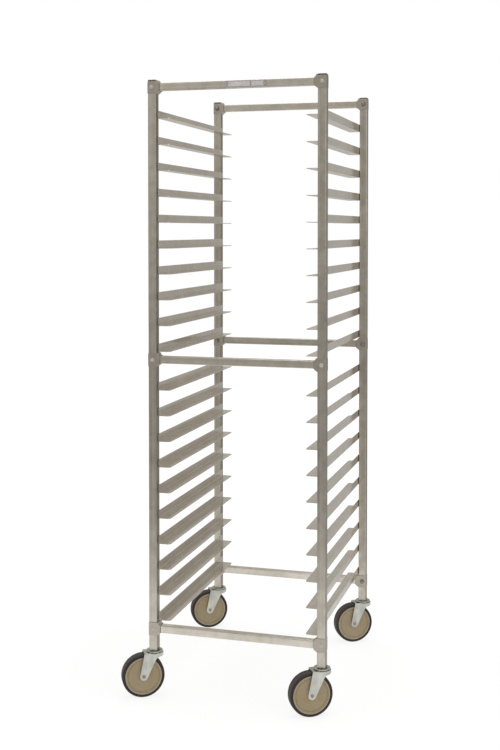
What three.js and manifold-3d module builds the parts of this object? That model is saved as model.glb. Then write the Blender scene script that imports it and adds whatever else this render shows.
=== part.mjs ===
// Sheet pan rack: an end-loading, bolt-together bakery rack on four swivel casters.
//
// Every dimension is in millimetres, +Z is up and the rack is entered from its front, which faces
// -Y. Each named mesh is one closed body: a post, a pan runner, a cross rail, a caster fork, a
// wheel or the blank name plate. The casters trail to the same side, so the whole group is moved
// sideways at the end to bring the centre of its box over the origin.
import * as THREE from 'three';
import { mergeVertices } from 'three/addons/utils/BufferGeometryUtils.js';
import Module from 'manifold-3d';

const wasm = await Module();
wasm.setup();

// Overall frame
const OUTER_WIDTH = 535;
const OUTER_DEPTH = 657;
const FIT_GAP = 0.3;

// Square tube posts with a plug cap on top and a caster stem in the foot
const POST_SIZE = 25.4;
const POST_WALL = 1.6;
const POST_CORNER = 3;
const POST_FOOT_Z = 136.6;
const POST_TOP_Z = 1818.7;
const CAP_HEIGHT = 5;

// Pan runners: angle sections, ten above and ten below the middle rails
const RUNNER_PITCH = 76.2;
const RUNNERS_PER_GROUP = 10;
const GROUP_STEP = 1.5 * RUNNER_PITCH;
const LOWEST_RUNNER_Z = 223.9;
const RUNNER_THICKNESS = 2;
const RUNNER_UPSTAND = 24;
const RUNNER_SHELF = 36.6;
const RUNNER_BEND = 3.5;
const RUNNER_SETBACK = 14;
const RUNNER_TIP_CORNER = 8;

// Cross rails with a welded saddle bracket at each end
const RAIL_SIZE = 22.2;
const RAIL_WALL = 1.6;
const RAIL_CORNER = 2.5;
const RAIL_SPACING = 10.5 * RUNNER_PITCH;
const LOWEST_RAIL_Z = 201.8;
const BRACKET_HEIGHT = 39.6;
const BRACKET_REACH = 9.5;
const BRACKET_PLATE = 2;
const BRACKET_LIP = 0.8;

// Name plate on the front of the top rail
const PLATE_WIDTH = 124;
const PLATE_HEIGHT = 20;
const PLATE_THICKNESS = 1.2;
const PLATE_CORNER = 2;
const PLATE_OFFSET_X = 31;
const PLATE_GAP = 0.2;

// Swivel casters
const WHEEL_RADIUS = 63.5;
const TREAD_WIDTH = 32;
const TYRE_SHOULDER = 3.5;
const CORE_RADIUS = 54.8;
const CORE_LIP = 3;
const WEB_RECESS = 1.2;
const HUB_RADIUS = 13;
const HUB_WIDTH = 35;
const AXLE_RADIUS = 4.8;
const AXLE_HEAD_RADIUS = 5.6;
const AXLE_HEAD_HEIGHT = 1.6;
const RUNNING_CLEARANCE = 0.09;
const CASTER_LEAD = 35;
const CASTER_TURN_DEG = 30;
const CROWN_RADIUS = 26.5;
const CROWN_UNDERSIDE_Z = 128.6;
const CROWN_THICKNESS = 3;
const CROWN_TAIL = 33;
const SKIRT_DEPTH = 7.5;
const SKIRT_WALL = 2.5;
const LEG_THICKNESS = 3;
const LEG_GAP = 36;
const LEG_LEADING_T = -11;
const LEG_END_RADIUS = 11.5;

// Caster stem: race disc, king pin and the plug that fills the post's foot
const RACE_RADIUS = 24.5;
const RACE_UNDERSIDE_Z = 132;
const RACE_EDGE = 1.6;
const KING_PIN_RADIUS = 6;
const KING_PIN_HEAD_RADIUS = 9.5;
const KING_PIN_HEAD_Z = 124.7;
const KING_PIN_HEAD_THICKNESS = 3.5;
const KING_PIN_BORE = 2.5;
const PLUG_TOP_Z = 172;

const ROUND_SEGMENTS = 32;
const WHEEL_SEGMENTS = 48;
const CORNER_SEGMENTS = 3;
const LEG_END_SEGMENTS = 16;
const SHOULDER_SEGMENTS = 3;
const MERGE_TOLERANCE = 1e-5;
const OVERLAP = 0.5;

const half = (value) => value / 2;
const postX = half(OUTER_WIDTH) - half(POST_SIZE);
const postY = half(OUTER_DEPTH) - half(POST_SIZE);
const postInnerX = half(OUTER_WIDTH) - POST_SIZE;

// ---------------------------------------------------------------- solids

/** Turns a three.js geometry into a manifold solid. */
function toSolid(geometry) {
  const bare = geometry.clone();
  bare.deleteAttribute('normal');
  bare.deleteAttribute('uv');
  const merged = mergeVertices(bare, MERGE_TOLERANCE);
  const mesh = new wasm.Mesh({
    numProp: 3,
    vertProperties: Float32Array.from(merged.attributes.position.array),
    triVerts: Uint32Array.from(merged.index.array),
  });
  return new wasm.Manifold(mesh);
}

/** Turns a manifold solid back into a three.js geometry. */
function toGeometry(solid) {
  const mesh = solid.getMesh();
  const geometry = new THREE.BufferGeometry();
  geometry.setAttribute('position', new THREE.BufferAttribute(mesh.vertProperties, 3));
  geometry.setIndex(new THREE.BufferAttribute(mesh.triVerts, 1));
  geometry.computeVertexNormals();
  return geometry;
}

/** Joins a list of solids into one. */
function join(solids) {
  return solids.reduce((sum, solid) => sum.add(solid));
}

/** An axis-aligned block between two corners. */
function block(low, high) {
  const size = high.map((value, axis) => value - low[axis]);
  const geometry = new THREE.BoxGeometry(...size);
  geometry.translate(...low.map((value, axis) => value + half(size[axis])));
  return toSolid(geometry);
}

/** A rectangle with rounded corners, centred on the origin. */
function roundedRectangle(width, height, corner) {
  const x = half(width);
  const y = half(height);
  const shape = new THREE.Shape();
  shape.moveTo(-x + corner, -y);
  shape.lineTo(x - corner, -y);
  shape.absarc(x - corner, -y + corner, corner, -Math.PI / 2, 0, false);
  shape.lineTo(x, y - corner);
  shape.absarc(x - corner, y - corner, corner, 0, Math.PI / 2, false);
  shape.lineTo(-x + corner, y);
  shape.absarc(-x + corner, y - corner, corner, Math.PI / 2, Math.PI, false);
  shape.lineTo(-x, -y + corner);
  shape.absarc(-x + corner, -y + corner, corner, Math.PI, 1.5 * Math.PI, false);
  return shape;
}

/** A flat outline pushed out along +Z from the given height. */
function prism(shape, fromZ, toZ, segments = CORNER_SEGMENTS) {
  const options = { depth: toZ - fromZ, bevelEnabled: false, curveSegments: segments };
  const geometry = new THREE.ExtrudeGeometry(shape, options);
  geometry.translate(0, 0, fromZ);
  return toSolid(geometry);
}

/** An outline drawn in the XZ plane and pushed along Y between two positions. */
function prismAlongY(shape, fromY, toY, segments = CORNER_SEGMENTS) {
  const options = { depth: toY - fromY, bevelEnabled: false, curveSegments: segments };
  const geometry = new THREE.ExtrudeGeometry(shape, options);
  geometry.rotateX(Math.PI / 2);
  geometry.translate(0, toY, 0);
  return toSolid(geometry);
}

/** A closed profile of [radius, height] points turned about Z. */
function turned(profile, segments = ROUND_SEGMENTS) {
  const points = [...profile, profile[0]].map(([radius, z]) => new THREE.Vector2(radius, z));
  const geometry = new THREE.LatheGeometry(points, segments);
  geometry.rotateX(Math.PI / 2);
  return toSolid(geometry);
}

/** A round bar along Z. */
function bar(radius, fromZ, toZ, segments = ROUND_SEGMENTS) {
  const geometry = new THREE.CylinderGeometry(radius, radius, toZ - fromZ, segments);
  geometry.rotateX(Math.PI / 2);
  geometry.translate(0, 0, half(fromZ + toZ));
  return toSolid(geometry);
}

// ---------------------------------------------------------------- frame

/** A square tube post with its top cap, foot plug, race disc and hollow king pin. */
function makePost() {
  const inner = POST_SIZE - 2 * POST_WALL;
  const outerShape = roundedRectangle(POST_SIZE, POST_SIZE, POST_CORNER);
  const innerShape = roundedRectangle(inner, inner, POST_CORNER - POST_WALL);
  const tube = prism(outerShape, POST_FOOT_Z - OVERLAP, POST_TOP_Z)
    .subtract(prism(innerShape, POST_FOOT_Z - 2 * OVERLAP, POST_TOP_Z + OVERLAP));
  const cap = prism(outerShape, POST_TOP_Z - OVERLAP, POST_TOP_Z + CAP_HEIGHT);
  const plug = prism(innerShape, POST_FOOT_Z - OVERLAP, PLUG_TOP_Z);
  const race = turned([
    [0, RACE_UNDERSIDE_Z],
    [RACE_RADIUS - RACE_EDGE, RACE_UNDERSIDE_Z],
    [RACE_RADIUS, RACE_UNDERSIDE_Z + RACE_EDGE],
    [RACE_RADIUS, POST_FOOT_Z - RACE_EDGE],
    [RACE_RADIUS - RACE_EDGE, POST_FOOT_Z],
    [0, POST_FOOT_Z],
  ]);
  const pin = bar(KING_PIN_RADIUS, KING_PIN_HEAD_Z, RACE_UNDERSIDE_Z + OVERLAP);
  const headTop = KING_PIN_HEAD_Z + KING_PIN_HEAD_THICKNESS;
  const head = bar(KING_PIN_HEAD_RADIUS, KING_PIN_HEAD_Z, headTop);
  const bore = bar(KING_PIN_BORE, KING_PIN_HEAD_Z - OVERLAP, PLUG_TOP_Z + OVERLAP);
  return join([tube, cap, plug, race, pin, head]).subtract(bore);
}

/** A right-hand runner at shelf height zero: shelf inward, upstand against the posts. */
function makeRightRunner() {
  const outer = postInnerX - FIT_GAP;
  const tip = outer - RUNNER_SHELF;
  const inside = outer - RUNNER_THICKNESS;
  const bendInside = RUNNER_BEND - RUNNER_THICKNESS;
  const end = half(OUTER_DEPTH) - RUNNER_SETBACK;
  const section = new THREE.Shape();
  section.moveTo(tip, 0);
  section.lineTo(outer - RUNNER_BEND, 0);
  section.absarc(outer - RUNNER_BEND, RUNNER_BEND, RUNNER_BEND, -Math.PI / 2, 0, false);
  section.lineTo(outer, RUNNER_UPSTAND);
  section.lineTo(inside, RUNNER_UPSTAND);
  section.lineTo(inside, RUNNER_BEND);
  section.absarc(outer - RUNNER_BEND, RUNNER_BEND, bendInside, 0, -Math.PI / 2, true);
  section.lineTo(tip, RUNNER_THICKNESS);
  const angle = prismAlongY(section, -end, end);

  // The shelf's two free corners are rounded by keeping what lies inside a plan outline.
  const plan = roundedRectangle(2 * RUNNER_SHELF, 2 * end, RUNNER_TIP_CORNER);
  const keep = prism(plan, -OVERLAP, RUNNER_UPSTAND + OVERLAP)
    .translate([tip + RUNNER_SHELF, 0, 0]);
  return angle.intersect(keep);
}

/** A cross rail along X at height zero, whose saddle brackets clasp the front and back of a post. */
function makeFrontRail() {
  const innerEnd = postInnerX - FIT_GAP - BRACKET_REACH;
  const saddleEnd = postInnerX - FIT_GAP;
  const tubeEnd = saddleEnd - OVERLAP;
  const saddleFront = -half(OUTER_DEPTH) - FIT_GAP - BRACKET_PLATE;
  const saddleBack = -half(OUTER_DEPTH) + POST_SIZE + FIT_GAP + BRACKET_PLATE;
  const saddleThroat = half(RAIL_SIZE) + BRACKET_LIP;
  const bore = RAIL_SIZE - 2 * RAIL_WALL;

  const saddle = new THREE.Shape();
  saddle.moveTo(innerEnd, -saddleThroat);
  saddle.lineTo(saddleEnd, -half(BRACKET_HEIGHT));
  saddle.lineTo(saddleEnd, half(BRACKET_HEIGHT));
  saddle.lineTo(innerEnd, saddleThroat);
  saddle.closePath();
  const rightPlates = [saddleFront, saddleBack - BRACKET_PLATE].map((y) => block(
    [saddleEnd - OVERLAP, y, -half(BRACKET_HEIGHT)],
    [half(OUTER_WIDTH), y + BRACKET_PLATE, half(BRACKET_HEIGHT)],
  ));
  const rightEnd = join([prismAlongY(saddle, saddleFront, saddleBack), ...rightPlates]);

  const alongX = [0, 90, 0];
  const tube = prism(roundedRectangle(RAIL_SIZE, RAIL_SIZE, RAIL_CORNER), -tubeEnd, tubeEnd)
    .rotate(alongX)
    .translate([0, -postY, 0]);
  const hollow = prism(roundedRectangle(bore, bore, RAIL_CORNER - RAIL_WALL), -postX, postX)
    .rotate(alongX)
    .translate([0, -postY, 0]);
  return join([tube, rightEnd, rightEnd.mirror([1, 0, 0])]).subtract(hollow);
}

/** A thin blank plate standing on the front of the top rail, facing -Y. */
function makeNamePlate() {
  const back = -postY - half(RAIL_SIZE) - PLATE_GAP;
  const outline = roundedRectangle(PLATE_WIDTH, PLATE_HEIGHT, PLATE_CORNER);
  return prismAlongY(outline, back - PLATE_THICKNESS, back);
}

// ---------------------------------------------------------------- casters

// Each caster is drawn with its king pin on Z and its wheel trailing toward +X.

/** The leg's side outline: a sloping blade that ends in a round eye about the axle. */
function legOutline() {
  const top = CROWN_UNDERSIDE_Z + CROWN_THICKNESS;
  const tangent = (x, side) => {
    const dx = x - CASTER_LEAD;
    const dz = top - WHEEL_RADIUS;
    return Math.atan2(dz, dx) + side * Math.acos(LEG_END_RADIUS / Math.hypot(dx, dz));
  };
  const leading = tangent(LEG_LEADING_T, 1);
  const trailing = tangent(CROWN_TAIL, -1) + 2 * Math.PI;
  const shape = new THREE.Shape();
  shape.moveTo(LEG_LEADING_T, top);
  shape.absarc(CASTER_LEAD, WHEEL_RADIUS, LEG_END_RADIUS, leading, trailing, false);
  shape.lineTo(CROWN_TAIL, top);
  shape.closePath();
  return shape;
}

/** The fork: crown plate with a skirt, two legs and the riveted axle. */
function makeFork() {
  const crownTop = CROWN_UNDERSIDE_Z + CROWN_THICKNESS;
  const legOuter = half(LEG_GAP) + LEG_THICKNESS;
  const crown = bar(CROWN_RADIUS, CROWN_UNDERSIDE_Z, crownTop);
  const tail = block([0, -legOuter, CROWN_UNDERSIDE_Z], [CROWN_TAIL, legOuter, crownTop]);
  const skirtFoot = CROWN_UNDERSIDE_Z - SKIRT_DEPTH;
  const skirt = bar(CROWN_RADIUS, skirtFoot, crownTop)
    .subtract(bar(CROWN_RADIUS - SKIRT_WALL, skirtFoot - OVERLAP, crownTop + OVERLAP))
    .subtract(block([0, -CROWN_RADIUS, 0], [CROWN_RADIUS + OVERLAP, CROWN_RADIUS, crownTop]));
  const pinHole = bar(
    KING_PIN_RADIUS + RUNNING_CLEARANCE,
    CROWN_UNDERSIDE_Z - OVERLAP,
    crownTop + OVERLAP,
  );
  const legs = [-1, 1].map((side) => {
    const inner = side * half(LEG_GAP);
    const outer = side * legOuter;
    const [low, high] = [Math.min(inner, outer), Math.max(inner, outer)];
    return prismAlongY(legOutline(), low, high, LEG_END_SEGMENTS);
  });
  const axle = bar(AXLE_RADIUS, -legOuter - OVERLAP, legOuter + OVERLAP);
  const heads = [-1, 1].map((side) => {
    const face = side * legOuter;
    const crest = side * (legOuter + AXLE_HEAD_HEIGHT);
    return bar(AXLE_HEAD_RADIUS, Math.min(face - side * OVERLAP, crest),
      Math.max(face - side * OVERLAP, crest));
  });
  const axleBar = join([axle, ...heads])
    .rotate([90, 0, 0])
    .translate([CASTER_LEAD, 0, WHEEL_RADIUS]);
  return join([crown, tail, skirt, ...legs, axleBar]).subtract(pinHole);
}

/** The wheel about its own centre: crowned tyre, core with a raised lip, hub bored for the axle. */
function makeWheel() {
  const tread = half(TREAD_WIDTH);
  const hub = half(HUB_WIDTH);
  const bore = AXLE_RADIUS + RUNNING_CLEARANCE;
  const halfProfile = [
    [bore, hub],
    [HUB_RADIUS, hub],
    [HUB_RADIUS, tread - WEB_RECESS],
    [CORE_RADIUS - CORE_LIP, tread - WEB_RECESS],
    [CORE_RADIUS - CORE_LIP + WEB_RECESS, tread],
    [WHEEL_RADIUS - TYRE_SHOULDER, tread],
  ];
  for (let step = 1; step <= SHOULDER_SEGMENTS; step += 1) {
    const angle = (step / SHOULDER_SEGMENTS) * (Math.PI / 2);
    halfProfile.push([
      WHEEL_RADIUS - TYRE_SHOULDER + TYRE_SHOULDER * Math.sin(angle),
      tread - TYRE_SHOULDER + TYRE_SHOULDER * Math.cos(angle),
    ]);
  }
  const mirrored = halfProfile.map(([radius, z]) => [radius, -z]);
  return turned([...mirrored, ...halfProfile.reverse()], WHEEL_SEGMENTS)
    .rotate([90, 0, 0]);
}

// ---------------------------------------------------------------- assembly

const rack = new THREE.Group();
rack.name = 'sheet_pan_rack';
const assembly = new THREE.Group();
rack.add(assembly);

const finishes = {
  post: { color: 0xa79f93, roughness: 0.38, metalness: 1 },
  runner: { color: 0xaba59a, roughness: 0.3, metalness: 1 },
  rail: { color: 0xa9a296, roughness: 0.38, metalness: 1 },
  plate: { color: 0xc9c7c0, roughness: 0.45, metalness: 0.2 },
  fork: { color: 0xb9bcb6, roughness: 0.42, metalness: 0.9 },
  wheel: { color: 0x8a7b60, roughness: 0.7, metalness: 0 },
};

/** Adds one named body, with a material of its own, to a group. */
function addPart(group, name, geometry, finish, position = [0, 0, 0]) {
  const material = new THREE.MeshStandardMaterial(finishes[finish]);
  material.name = name;
  const mesh = new THREE.Mesh(geometry, material);
  mesh.name = name;
  mesh.position.set(...position);
  group.add(mesh);
}

// Posts and casters share a group per corner. All four casters trail away from the front right.
const corners = [
  ['front_left', -1, -1],
  ['front_right', 1, -1],
  ['rear_left', -1, 1],
  ['rear_right', 1, 1],
];
const postGeometry = toGeometry(makePost());
const forkGeometry = toGeometry(makeFork());
const wheelGeometry = toGeometry(makeWheel());
for (const [name, sideX, sideY] of corners) {
  const corner = new THREE.Group();
  corner.position.set(sideX * postX, sideY * postY, 0);
  assembly.add(corner);
  addPart(corner, `${name}_post`, postGeometry, 'post');

  const caster = new THREE.Group();
  caster.rotation.z = THREE.MathUtils.degToRad(180 + CASTER_TURN_DEG);
  corner.add(caster);
  addPart(caster, `${name}_fork`, forkGeometry, 'fork');
  addPart(caster, `${name}_wheel`, wheelGeometry, 'wheel', [CASTER_LEAD, 0, WHEEL_RADIUS]);
}

const rightRunner = makeRightRunner();
const rightRunnerGeometry = toGeometry(rightRunner);
const leftRunnerGeometry = toGeometry(rightRunner.mirror([1, 0, 0]));
for (let level = 0; level < 2 * RUNNERS_PER_GROUP; level += 1) {
  const groupStep = level < RUNNERS_PER_GROUP ? 0 : GROUP_STEP - RUNNER_PITCH;
  const height = [0, 0, LOWEST_RUNNER_Z + level * RUNNER_PITCH + groupStep];
  const number = String(level + 1).padStart(2, '0');
  addPart(assembly, `runner_left_${number}`, leftRunnerGeometry, 'runner', height);
  addPart(assembly, `runner_right_${number}`, rightRunnerGeometry, 'runner', height);
}

const frontRail = makeFrontRail();
const frontRailGeometry = toGeometry(frontRail);
const rearRailGeometry = toGeometry(frontRail.mirror([0, 1, 0]));
['bottom', 'middle', 'top'].forEach((storey, index) => {
  const height = [0, 0, LOWEST_RAIL_Z + index * RAIL_SPACING];
  addPart(assembly, `front_${storey}_rail`, frontRailGeometry, 'rail', height);
  addPart(assembly, `rear_${storey}_rail`, rearRailGeometry, 'rail', height);
});
const topRailZ = LOWEST_RAIL_Z + 2 * RAIL_SPACING;
const namePlateGeometry = toGeometry(makeNamePlate());
addPart(assembly, 'name_plate', namePlateGeometry, 'plate', [PLATE_OFFSET_X, 0, topRailZ]);

// The casters overhang to one side, so the assembly moves to centre its box over the origin.
const centre = new THREE.Box3().setFromObject(assembly, true).getCenter(new THREE.Vector3());
assembly.position.set(-centre.x, -centre.y, 0);

export default rack;
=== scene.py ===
"""Looks of the sheet pan rack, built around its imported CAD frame. Lengths are in metres."""
import math

import bmesh
import bpy
from bpy.props import FloatProperty, FloatVectorProperty, IntProperty, PointerProperty
from mathutils import Matrix, Vector


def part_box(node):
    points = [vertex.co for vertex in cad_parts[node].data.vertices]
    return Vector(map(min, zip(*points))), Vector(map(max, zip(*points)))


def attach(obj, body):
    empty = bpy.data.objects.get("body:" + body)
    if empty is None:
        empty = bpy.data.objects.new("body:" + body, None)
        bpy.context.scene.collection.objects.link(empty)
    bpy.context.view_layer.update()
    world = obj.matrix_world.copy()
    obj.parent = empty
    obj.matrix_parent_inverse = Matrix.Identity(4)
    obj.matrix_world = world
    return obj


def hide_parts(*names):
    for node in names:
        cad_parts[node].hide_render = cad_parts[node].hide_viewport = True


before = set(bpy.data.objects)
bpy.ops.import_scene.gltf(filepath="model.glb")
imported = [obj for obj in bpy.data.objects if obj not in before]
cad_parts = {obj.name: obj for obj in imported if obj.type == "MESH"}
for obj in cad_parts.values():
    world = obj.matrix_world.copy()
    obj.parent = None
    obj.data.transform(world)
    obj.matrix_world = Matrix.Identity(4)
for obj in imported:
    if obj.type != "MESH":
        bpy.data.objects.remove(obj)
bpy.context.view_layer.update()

bl_info = {
    "name": "Sheet Pan Rack",
    "version": (1, 0, 0),
    "blender": (4, 5, 0),
    "location": "3D View > Sidebar > Pan Rack",
    "description": "Builds the finished pieces of an aluminium sheet pan rack around its CAD frame",
    "category": "Object",
}

MM = 0.001
CORNERS = ("front_left", "front_right", "rear_left", "rear_right")
STOREYS = ("bottom", "middle", "top")
ENDS = (("front", -1), ("rear", 1))
SIDES = (("left", -1), ("right", 1))
SQUARE = ((-1, -1), (1, -1), (1, 1), (-1, 1))
LEVELS = 20
CASTER_TURN = math.radians(30)
ALONG_X, ALONG_Y, ALONG_Z = 0, 1, 2
FIT_GAP = 0.3 * MM
MERGE_DISTANCE = 0.01 * MM
NO_SCALE = (1.0, 1.0, 1.0)

# Tones of the wear, and one painted shade. A stain is a share of each channel of the metal under it.
METAL_DUST = (0.62, 0.60, 0.56, 1.0)
CAST_DUST = (0.60, 0.58, 0.54, 1.0)
# Painted shade laid on the faces along X of the posts and runners; it is not wear.
FLANK_PAINTED_SHADE = (0.12, 0.105, 0.085, 1.0)
DRAWN_STAIN = (0.92, 0.90, 0.84)
CAST_STAIN = (0.95, 0.91, 0.84)
PALE_FILM = (0.30, 0.28, 0.25, 1.0)
CORE_FILM = (0.34, 0.30, 0.24, 1.0)
LABEL_FILM = (0.26, 0.24, 0.23, 1.0)
TYRE_FILM = (0.10, 0.083, 0.072, 1.0)
GRAIN_STRETCH = 0.012
COAT_ROUGHNESS = 0.35

# Tones of the studio. The eye sees white, and reflections see something darker.
WHITE = (1.0, 1.0, 1.0, 1.0)
FRONT_TONE, OVERHEAD_TONE = (0.42, 0.40, 0.366, 1.0), (0.46, 0.45, 0.44, 1.0)
BACKDROP_LOW, BACKDROP_HIGH = (0.50, 0.485, 0.457, 1.0), (0.45, 0.437, 0.412, 1.0)
AMBIENT_TONE = (0.82, 0.82, 0.82, 1.0)
PAPER_TONES = (0.86, 0.86, 0.855, 1.0), (0.90, 0.90, 0.895, 1.0)
# Painted reflection: the floor's tones that only glossy rays see, dark far in front, pale round the rack
# and darker behind it.
FLOOR_REFLECTION_FRONT, FLOOR_REFLECTION_MIDDLE = (0.20, 0.19, 0.18, 1.0), (0.79, 0.78, 0.76, 1.0)
FLOOR_REFLECTION_BEHIND = (0.50, 0.49, 0.47, 1.0)
FLOOR_GLOW = 1.06
FLOOR_SIZE = 12

# The camera's place is counted from the middle of the four posts.
CAMERA_PLACE = (0.9691, -3.5389, 1.3844)
CAMERA_TILT, CAMERA_TURN = 90 - 1.705, 16.111
CAMERA_LENS, CAMERA_SENSOR = 55.97, 36.0
CAMERA_SHIFT = (0.0012, -0.1474)
CAMERA_REACH = 60.0

# Each lamp's name, place, aim, width in metres and power in watts.
LAMPS = (
    ("key_lamp", (-2.6, -3.0, 3.2), (0.0, 0.0, 1.0), 2.2, 5.0),
    ("fill_lamp", (3.2, -1.6, 2.2), (0.0, 0.0, 0.9), 2.0, 16.0),
    ("top_lamp", (0.2, 0.4, 4.2), (0.0, 0.0, 0.0), 2.6, 40.0),
)


# ---------------------------------------------------------------- properties


def length(name, description, millimetres, high=1000.0):
    """A length property whose default is given in millimetres."""
    return FloatProperty(
        name=name,
        description=description,
        default=millimetres * MM,
        min=0.0,
        max=high * MM,
        unit="LENGTH",
        subtype="DISTANCE",
        precision=5,
    )


def colour(name, description, value):
    """A colour property."""
    return FloatVectorProperty(
        name=name, description=description, default=value, size=3, min=0.0, max=1.0, subtype="COLOR"
    )


class FrameSizes(bpy.types.PropertyGroup):
    """Sizes of the posts, runners, rails and their fixings."""

    post_size: length("Post size", "Outside width of a square post", 25.4)
    post_wall: length("Post wall", "Wall thickness of a post", 1.6)
    post_corner: length("Post corner", "Outside corner radius of a post", 3.0)
    cap_height: length("Cap height", "How far the cap stands above the tube", 5.0)
    post_foot: length("Post foot", "Height of the lower end of the tube", 136.6)
    runner_thickness: length("Runner thickness", "Wall thickness of a runner", 2.0)
    runner_bend: length("Runner bend", "Outside radius of the fold", 3.5)
    runner_tip: length("Runner corner", "Radius of the shelf's free corners", 8.0)
    rail_size: length("Rail size", "Outside width of a square rail", 22.2)
    rail_wall: length("Rail wall", "Wall thickness of a rail", 1.6)
    rail_corner: length("Rail corner", "Outside corner radius of a rail", 2.5)
    bracket_plate: length("Bracket plate", "Thickness of the plate bolted to the post", 2.0)
    bracket_reach: length("Bracket reach", "How far the saddle runs along the rail", 9.5)
    bracket_lip: length("Bracket lip", "How far the saddle's mouth stands off the rail", 0.8)
    weld_radius: length("Weld radius", "Half width of a weld bead", 2.1)
    bolt_boss: length("Bolt washer radius", "Radius of the washer under a bolt head", 6.0)
    bolt_head: length("Bolt head radius", "Radius of the domed bolt head", 4.4)


class CasterSizes(bpy.types.PropertyGroup):
    """Sizes of the swivel casters."""

    wheel_radius: length("Wheel radius", "Radius over the tyre", 63.5)
    tread_width: length("Tread width", "Width of the tyre", 32.0)
    core_radius: length("Core radius", "Radius of the moulded core", 54.8)
    hub_radius: length("Hub radius", "Radius of the hub boss", 13.0)
    hub_width: length("Hub width", "Width over the hub", 35.0)
    axle_radius: length("Axle head radius", "Radius of the riveted axle end", 5.4)
    lead: length("Lead", "How far the axle trails the king pin", 35.0)
    crown_radius: length("Crown radius", "Radius of the crown's nose", 26.5)
    crown_top: length("Crown height", "Height of the crown's upper face", 131.6)
    crown_tail: length("Crown tail", "How far the crown runs behind the king pin", 33.0)
    leg_span: length("Leg span", "Width over the two legs", 42.0)
    leg_thickness: length("Leg thickness", "Thickness of the pressed sheet", 3.0)
    leg_end: length("Leg end radius", "Radius of the leg about the axle", 11.5)
    race_radius: length("Race radius", "Radius of the upper race", 24.5)
    round_steps: IntProperty(
        name="Wheel facets", description="Facets round a wheel", default=72, min=12, max=256
    )


class RackFinishes(bpy.types.PropertyGroup):
    """Colours of the finishes."""

    post: colour("Posts", "Drawn aluminium of the posts", (0.70, 0.662, 0.585))
    runner: colour("Runners", "Aluminium of the runners", (0.80, 0.75, 0.675))
    rail: colour("Rails", "Drawn aluminium of the rails", (0.81, 0.765, 0.69))
    bracket: colour("Brackets", "Tumbled aluminium of the saddle brackets", (0.61, 0.57, 0.50))
    weld: colour("Welds", "Aluminium weld beads", (0.36, 0.335, 0.30))
    bolt: colour("Bolts", "Plated steel of the bolts", (0.56, 0.52, 0.48))
    axle: colour("Axles", "Dull steel of the riveted axles", (0.36, 0.355, 0.33))
    cap: colour("Caps", "Dark plastic of the post caps", (0.045, 0.043, 0.04))
    plate: colour("Name plate", "Satin rim and field of the blank plate", (0.62, 0.59, 0.57))
    label: colour("Labels", "Pale enamel of the two blank fields on the plate", (0.52, 0.49, 0.49))
    fork: colour("Forks", "Bright zinc of the forks", (0.62, 0.635, 0.59))
    race: colour("Races", "Zinc of the races and king pins", (0.60, 0.61, 0.57))
    core: colour("Wheel cores", "Tan moulded core", (0.295, 0.226, 0.120))
    # The lip's pale colour is a painted highlight, not wear.
    lip: colour("Core lip painted highlights", "Painted highlight on the raised lip round a core", (0.325, 0.275, 0.195))
    tyre: colour("Tyres", "Dark rubber tyre", (0.020, 0.015, 0.0125))


# ---------------------------------------------------------------- meshes


def mesh_of(name, points, faces):
    """A mesh made of points and faces."""
    mesh = bpy.data.meshes.new(name)
    mesh.from_pydata([Vector(point) for point in points], [], faces)
    mesh.update()
    return mesh


def recalculate(mesh):
    """Merges the points that meet and turns the faces of a closed mesh outwards."""
    shell = bmesh.new()
    shell.from_mesh(mesh)
    bmesh.ops.remove_doubles(shell, verts=shell.verts, dist=MERGE_DISTANCE)
    bmesh.ops.recalc_face_normals(shell, faces=shell.faces)
    shell.to_mesh(mesh)
    shell.free()


def linked(name, data):
    """A new object in the scene."""
    made = bpy.data.objects.new(name, data)
    bpy.context.scene.collection.objects.link(made)
    return made


def piece_of(name, mesh, finish, body, slot, *nodes):
    """Links a mesh as a finished piece that rides on a body and may stand for CAD nodes."""
    mesh.name = name
    mesh.polygons.foreach_set("use_smooth", [True] * len(mesh.polygons))
    mesh.materials.clear()
    mesh.materials.append(finish_of(finish))
    piece = linked(name, mesh)
    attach(piece, body)
    if nodes:
        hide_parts(*nodes)
    return piece


def bevel(piece, width, segments=2, angle=40.0, name="Rounding"):
    """A live bevel on the edges sharper than an angle in degrees."""
    modifier = piece.modifiers.new(name, "BEVEL")
    modifier.width = width
    modifier.segments = segments
    modifier.limit_method = "ANGLE"
    modifier.angle_limit = math.radians(angle)
    modifier.use_clamp_overlap = True
    modifier.miter_outer = "MITER_ARC"


def solidify(piece, thickness):
    """A live wall that grows inwards from the cage."""
    modifier = piece.modifiers.new("Wall", "SOLIDIFY")
    modifier.thickness = thickness
    modifier.offset = -1.0
    modifier.use_even_offset = True


def even_shading(piece):
    """Weights the normals by face area, so that flats look flat beside their bevels."""
    modifier = piece.modifiers.new("Even shading", "WEIGHTED_NORMAL")
    modifier.mode = "FACE_AREA"
    modifier.weight = 50
    modifier.keep_sharp = True


def soften(piece, width, segments=2, angle=40.0):
    """The live stack of a solid piece with eased edges."""
    bevel(piece, width, segments, angle)
    even_shading(piece)


def sheet_stack(piece, fold, wall, cut):
    """The live stack of a folded sheet: its folds, its wall and its eased cut edges."""
    bevel(piece, fold, segments=4, angle=60.0, name="Folds")
    solidify(piece, wall)
    bevel(piece, cut, angle=50.0, name="Cut edges")
    even_shading(piece)


def skin_of(rings, closed=False):
    """Points and faces of a skin over rings of equally many points, with flat ends if closed."""
    count = len(rings[0])
    points = [point for ring in rings for point in ring]
    last = len(points) - count
    faces = [
        (base + i, base + (i + 1) % count, base + (i + 1) % count + count, base + i + count)
        for base in range(0, last, count)
        for i in range(count)
    ]
    if closed:
        faces += [tuple(range(count))[::-1], tuple(range(last, last + count))]
    return points, faces


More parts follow.
